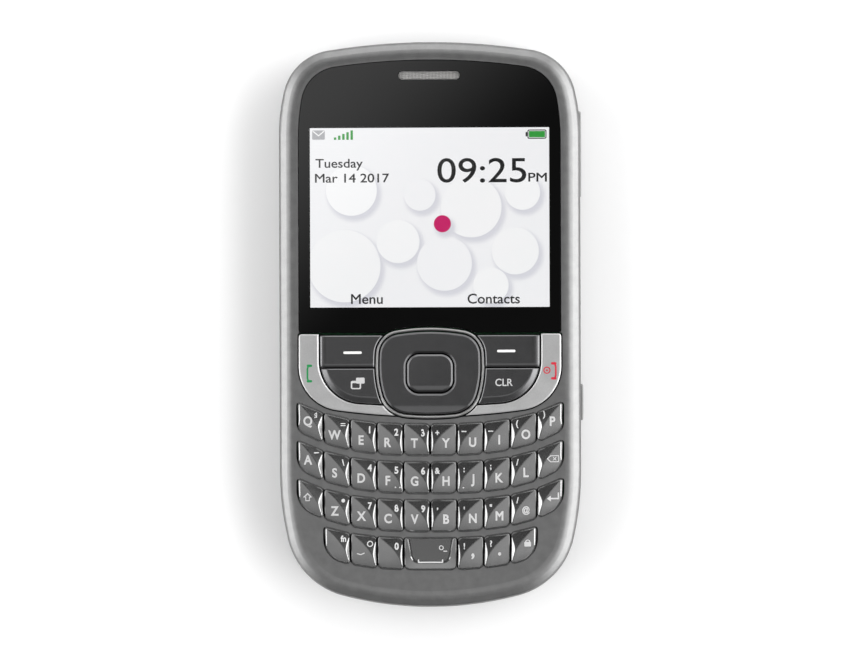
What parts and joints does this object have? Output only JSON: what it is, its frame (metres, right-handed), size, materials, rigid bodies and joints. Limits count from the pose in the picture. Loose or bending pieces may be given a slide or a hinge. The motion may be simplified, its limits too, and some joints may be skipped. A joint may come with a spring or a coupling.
{
  "type": "keyboard phone",
  "caption": "Slim one-piece phone with a wide display above a navigation pad and four curved rows of small letter keys, with side keys and a sliding battery cover.",
  "frame": {"origin": "middle of the flat back, halfway along and across the body", "axes": "+X across the phone to the right of its screen, +Y along it towards the earpiece, +Z out of the screen"},
  "size_m": [0.0622, 0.1156, 0.0126],
  "materials": {
    "housing_paint": "satin metallic silver-grey paint",
    "back_plastic": "fine matt texture",
    "cover_plastic": "fine matt texture",
    "window": "clear, printed black round the edge",
    "grille": "fine perforated metal",
    "display": "lit display in a thin metal frame",
    "trim": "bright metal line",
    "mat": "moulded silicone",
    "board": "green solder mask",
    "cell": "metal can with a plastic label",
    "camera": "dark lens glass",
    "speaker": "moulded case",
    "screws": "dark plated steel",
    "call_keys": "bright silver",
    "dark_keys": "satin graphite",
    "side_keys": "silver"
  },
  "bodies": {
    "housing": {"front_housing": "housing_paint", "display_window": "window", "earpiece_grille": "grille", "display_module": "display", "nav_trim": "trim", "keypad_mat": "mat", "circuit_board": "board", "rear_housing": "back_plastic", "battery": "cell", "camera_module": "camera", "loudspeaker": "speaker", "housing_screws": "screws"},
    "nav_pad": {"nav_pad": "dark_keys"},
    "volume_rocker": {"volume_rocker": "side_keys"},
    "camera_key": {"camera_key": "side_keys"},
    "battery_cover": {"battery_cover": "cover_plastic"},
    "send_key": {"send_key": "call_keys"},
    "end_key": {"end_key": "call_keys"},
    "left_soft_key": {"left_soft_key": "dark_keys"},
    "right_soft_key": {"right_soft_key": "dark_keys"},
    "recents_key": {"recents_key": "dark_keys"},
    "clear_key": {"clear_key": "dark_keys"},
    "ok_key": {"ok_key": "dark_keys"},
    "key_q": {"key_q": "dark_keys"},
    "key_w": {"key_w": "dark_keys"},
    "key_e": {"key_e": "dark_keys"},
    "key_r": {"key_r": "dark_keys"},
    "key_t": {"key_t": "dark_keys"},
    "key_y": {"key_y": "dark_keys"},
    "key_u": {"key_u": "dark_keys"},
    "key_i": {"key_i": "dark_keys"},
    "key_o": {"key_o": "dark_keys"},
    "key_p": {"key_p": "dark_keys"},
    "key_a": {"key_a": "dark_keys"},
    "key_s": {"key_s": "dark_keys"},
    "key_d": {"key_d": "dark_keys"},
    "key_f": {"key_f": "dark_keys"},
    "key_g": {"key_g": "dark_keys"},
    "key_h": {"key_h": "dark_keys"},
    "key_j": {"key_j": "dark_keys"},
    "key_k": {"key_k": "dark_keys"},
    "key_l": {"key_l": "dark_keys"},
    "key_backspace": {"key_backspace": "dark_keys"},
    "key_shift": {"key_shift": "dark_keys"},
    "key_z": {"key_z": "dark_keys"},
    "key_x": {"key_x": "dark_keys"},
    "key_c": {"key_c": "dark_keys"},
    "key_v": {"key_v": "dark_keys"},
    "key_b": {"key_b": "dark_keys"},
    "key_n": {"key_n": "dark_keys"},
    "key_m": {"key_m": "dark_keys"},
    "key_at": {"key_at": "dark_keys"},
    "key_enter": {"key_enter": "dark_keys"},
    "key_fn": {"key_fn": "dark_keys"},
    "key_symbol": {"key_symbol": "dark_keys"},
    "key_zero": {"key_zero": "dark_keys"},
    "key_space": {"key_space": "dark_keys"},
    "key_comma": {"key_comma": "dark_keys"},
    "key_period": {"key_period": "dark_keys"},
    "key_lock": {"key_lock": "dark_keys"}
  },
  "joints": [
    {"name": "nav_pad_tilt", "type": "hinge", "parent": "housing", "child": "nav_pad", "pos_m": [0, -0.00992, 0.0101], "axis": [1, 0, 0], "range_deg": [-1.8, 1.8], "stiffness_Nm_per_rad": 0.6},
    {"name": "volume_rocker_tilt", "type": "hinge", "parent": "housing", "child": "volume_rocker", "pos_m": [0.02755, 0.0348, 0.00742], "axis": [0, 0, 1], "range_deg": [-1, 1], "stiffness_Nm_per_rad": 0.5},
    {"name": "camera_key_press", "type": "slide", "parent": "housing", "child": "camera_key", "axis": [-1, 0, 0], "range_m": [0, 0.00025], "stiffness_N_per_m": 3000, "springref_m": -0.0001},
    {"name": "battery_cover_slide", "type": "slide", "parent": "housing", "child": "battery_cover", "axis": [0, -1, 0], "range_m": [0, 0.006]},
    {"name": "send_key_press", "type": "slide", "parent": "housing", "child": "send_key", "axis": [0, 0, -1], "range_m": [0, 0.0003], "stiffness_N_per_m": 3000, "springref_m": -0.0001},
    {"name": "end_key_press", "type": "slide", "parent": "housing", "child": "end_key", "axis": [0, 0, -1], "range_m": [0, 0.0003], "stiffness_N_per_m": 3000, "springref_m": -0.0001},
    {"name": "left_soft_key_press", "type": "slide", "parent": "housing", "child": "left_soft_key", "axis": [0, 0, -1], "range_m": [0, 0.0003], "stiffness_N_per_m": 3000, "springref_m": -0.0001},
    {"name": "right_soft_key_press", "type": "slide", "parent": "housing", "child": "right_soft_key", "axis": [0, 0, -1], "range_m": [0, 0.0003], "stiffness_N_per_m": 3000, "springref_m": -0.0001},
    {"name": "recents_key_press", "type": "slide", "parent": "housing", "child": "recents_key", "axis": [0, 0, -1], "range_m": [0, 0.0003], "stiffness_N_per_m": 3000, "springref_m": -0.0001},
    {"name": "clear_key_press", "type": "slide", "parent": "housing", "child": "clear_key", "axis": [0, 0, -1], "range_m": [0, 0.0003], "stiffness_N_per_m": 3000, "springref_m": -0.0001},
    {"name": "ok_key_press", "type": "slide", "parent": "housing", "child": "ok_key", "axis": [0, 0, -1], "range_m": [0, 0.0003], "stiffness_N_per_m": 3000, "springref_m": -0.0001},
    {"name": "key_q_press", "type": "slide", "parent": "housing", "child": "key_q", "axis": [0, 0, -1], "range_m": [0, 0.0003], "stiffness_N_per_m": 3000, "springref_m": -0.0001},
    {"name": "key_w_press", "type": "slide", "parent": "housing", "child": "key_w", "axis": [0, 0, -1], "range_m": [0, 0.0003], "stiffness_N_per_m": 3000, "springref_m": -0.0001},
    {"name": "key_e_press", "type": "slide", "parent": "housing", "child": "key_e", "axis": [0, 0, -1], "range_m": [0, 0.0003], "stiffness_N_per_m": 3000, "springref_m": -0.0001},
    {"name": "key_r_press", "type": "slide", "parent": "housing", "child": "key_r", "axis": [0, 0, -1], "range_m": [0, 0.0003], "stiffness_N_per_m": 3000, "springref_m": -0.0001},
    {"name": "key_t_press", "type": "slide", "parent": "housing", "child": "key_t", "axis": [0, 0, -1], "range_m": [0, 0.0003], "stiffness_N_per_m": 3000, "springref_m": -0.0001},
    {"name": "key_y_press", "type": "slide", "parent": "housing", "child": "key_y", "axis": [0, 0, -1], "range_m": [0, 0.0003], "stiffness_N_per_m": 3000, "springref_m": -0.0001},
    {"name": "key_u_press", "type": "slide", "parent": "housing", "child": "key_u", "axis": [0, 0, -1], "range_m": [0, 0.0003], "stiffness_N_per_m": 3000, "springref_m": -0.0001},
    {"name": "key_i_press", "type": "slide", "parent": "housing", "child": "key_i", "axis": [0, 0, -1], "range_m": [0, 0.0003], "stiffness_N_per_m": 3000, "springref_m": -0.0001},
    {"name": "key_o_press", "type": "slide", "parent": "housing", "child": "key_o", "axis": [0, 0, -1], "range_m": [0, 0.0003], "stiffness_N_per_m": 3000, "springref_m": -0.0001},
    {"name": "key_p_press", "type": "slide", "parent": "housing", "child": "key_p", "axis": [0, 0, -1], "range_m": [0, 0.0003], "stiffness_N_per_m": 3000, "springref_m": -0.0001},
    {"name": "key_a_press", "type": "slide", "parent": "housing", "child": "key_a", "axis": [0, 0, -1], "range_m": [0, 0.0003], "stiffness_N_per_m": 3000, "springref_m": -0.0001},
    {"name": "key_s_press", "type": "slide", "parent": "housing", "child": "key_s", "axis": [0, 0, -1], "range_m": [0, 0.0003], "stiffness_N_per_m": 3000, "springref_m": -0.0001},
    {"name": "key_d_press", "type": "slide", "parent": "housing", "child": "key_d", "axis": [0, 0, -1], "range_m": [0, 0.0003], "stiffness_N_per_m": 3000, "springref_m": -0.0001},
    {"name": "key_f_press", "type": "slide", "parent": "housing", "child": "key_f", "axis": [0, 0, -1], "range_m": [0, 0.0003], "stiffness_N_per_m": 3000, "springref_m": -0.0001},
    {"name": "key_g_press", "type": "slide", "parent": "housing", "child": "key_g", "axis": [0, 0, -1], "range_m": [0, 0.0003], "stiffness_N_per_m": 3000, "springref_m": -0.0001},
    {"name": "key_h_press", "type": "slide", "parent": "housing", "child": "key_h", "axis": [0, 0, -1], "range_m": [0, 0.0003], "stiffness_N_per_m": 3000, "springref_m": -0.0001},
    {"name": "key_j_press", "type": "slide", "parent": "housing", "child": "key_j", "axis": [0, 0, -1], "range_m": [0, 0.0003], "stiffness_N_per_m": 3000, "springref_m": -0.0001},
    {"name": "key_k_press", "type": "slide", "parent": "housing", "child": "key_k", "axis": [0, 0, -1], "range_m": [0, 0.0003], "stiffness_N_per_m": 3000, "springref_m": -0.0001},
    {"name": "key_l_press", "type": "slide", "parent": "housing", "child": "key_l", "axis": [0, 0, -1], "range_m": [0, 0.0003], "stiffness_N_per_m": 3000, "springref_m": -0.0001},
    {"name": "key_backspace_press", "type": "slide", "parent": "housing", "child": "key_backspace", "axis": [0, 0, -1], "range_m": [0, 0.0003], "stiffness_N_per_m": 3000, "springref_m": -0.0001},
    {"name": "key_shift_press", "type": "slide", "parent": "housing", "child": "key_shift", "axis": [0, 0, -1], "range_m": [0, 0.0003], "stiffness_N_per_m": 3000, "springref_m": -0.0001},
    {"name": "key_z_press", "type": "slide", "parent": "housing", "child": "key_z", "axis": [0, 0, -1], "range_m": [0, 0.0003], "stiffness_N_per_m": 3000, "springref_m": -0.0001},
    {"name": "key_x_press", "type": "slide", "parent": "housing", "child": "key_x", "axis": [0, 0, -1], "range_m": [0, 0.0003], "stiffness_N_per_m": 3000, "springref_m": -0.0001},
    {"name": "key_c_press", "type": "slide", "parent": "housing", "child": "key_c", "axis": [0, 0, -1], "range_m": [0, 0.0003], "stiffness_N_per_m": 3000, "springref_m": -0.0001},
    {"name": "key_v_press", "type": "slide", "parent": "housing", "child": "key_v", "axis": [0, 0, -1], "range_m": [0, 0.0003], "stiffness_N_per_m": 3000, "springref_m": -0.0001},
    {"name": "key_b_press", "type": "slide", "parent": "housing", "child": "key_b", "axis": [0, 0, -1], "range_m": [0, 0.0003], "stiffness_N_per_m": 3000, "springref_m": -0.0001},
    {"name": "key_n_press", "type": "slide", "parent": "housing", "child": "key_n", "axis": [0, 0, -1], "range_m": [0, 0.0003], "stiffness_N_per_m": 3000, "springref_m": -0.0001},
    {"name": "key_m_press", "type": "slide", "parent": "housing", "child": "key_m", "axis": [0, 0, -1], "range_m": [0, 0.0003], "stiffness_N_per_m": 3000, "springref_m": -0.0001},
    {"name": "key_at_press", "type": "slide", "parent": "housing", "child": "key_at", "axis": [0, 0, -1], "range_m": [0, 0.0003], "stiffness_N_per_m": 3000, "springref_m": -0.0001},
    {"name": "key_enter_press", "type": "slide", "parent": "housing", "child": "key_enter", "axis": [0, 0, -1], "range_m": [0, 0.0003], "stiffness_N_per_m": 3000, "springref_m": -0.0001},
    {"name": "key_fn_press", "type": "slide", "parent": "housing", "child": "key_fn", "axis": [0, 0, -1], "range_m": [0, 0.0003], "stiffness_N_per_m": 3000, "springref_m": -0.0001},
    {"name": "key_symbol_press", "type": "slide", "parent": "housing", "child": "key_symbol", "axis": [0, 0, -1], "range_m": [0, 0.0003], "stiffness_N_per_m": 3000, "springref_m": -0.0001},
    {"name": "key_zero_press", "type": "slide", "parent": "housing", "child": "key_zero", "axis": [0, 0, -1], "range_m": [0, 0.0003], "stiffness_N_per_m": 3000, "springref_m": -0.0001},
    {"name": "key_space_press", "type": "slide", "parent": "housing", "child": "key_space", "axis": [0, 0, -1], "range_m": [0, 0.0003], "stiffness_N_per_m": 3000, "springref_m": -0.0001},
    {"name": "key_comma_press", "type": "slide", "parent": "housing", "child": "key_comma", "axis": [0, 0, -1], "range_m": [0, 0.0003], "stiffness_N_per_m": 3000, "springref_m": -0.0001},
    {"name": "key_period_press", "type": "slide", "parent": "housing", "child": "key_period", "axis": [0, 0, -1], "range_m": [0, 0.0003], "stiffness_N_per_m": 3000, "springref_m": -0.0001},
    {"name": "key_lock_press", "type": "slide", "parent": "housing", "child": "key_lock", "axis": [0, 0, -1], "range_m": [0, 0.0003], "stiffness_N_per_m": 3000, "springref_m": -0.0001}
  ]
}
